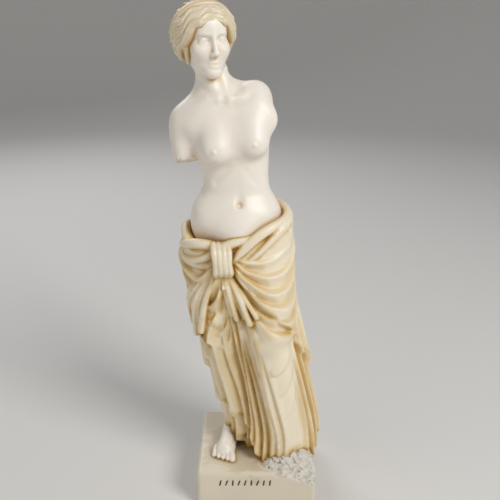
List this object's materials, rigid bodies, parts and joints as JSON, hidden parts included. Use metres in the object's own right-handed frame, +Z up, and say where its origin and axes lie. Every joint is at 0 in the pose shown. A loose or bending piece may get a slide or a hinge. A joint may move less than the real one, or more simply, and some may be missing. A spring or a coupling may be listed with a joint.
{
  "type": "classical goddess statuette",
  "caption": "Small cast statuette of a half-draped, armless classical goddess, standing on a rectangular plinth with one broken corner.",
  "frame": {"origin": "middle of the plinth's flat underside", "axes": "+Z up the figure, -Y the front, where the chest and the plinth's marked face look, +X to the viewer's right"},
  "size_m": [0.085, 0.063, 0.2801],
  "materials": {
    "resin_figure": "satin",
    "resin_mantle": "satin",
    "resin_plinth": "satin",
    "resin_broken": "matte"
  },
  "bodies": {
    "root": {"statuette": "resin_figure"}
  },
  "joints": []
}
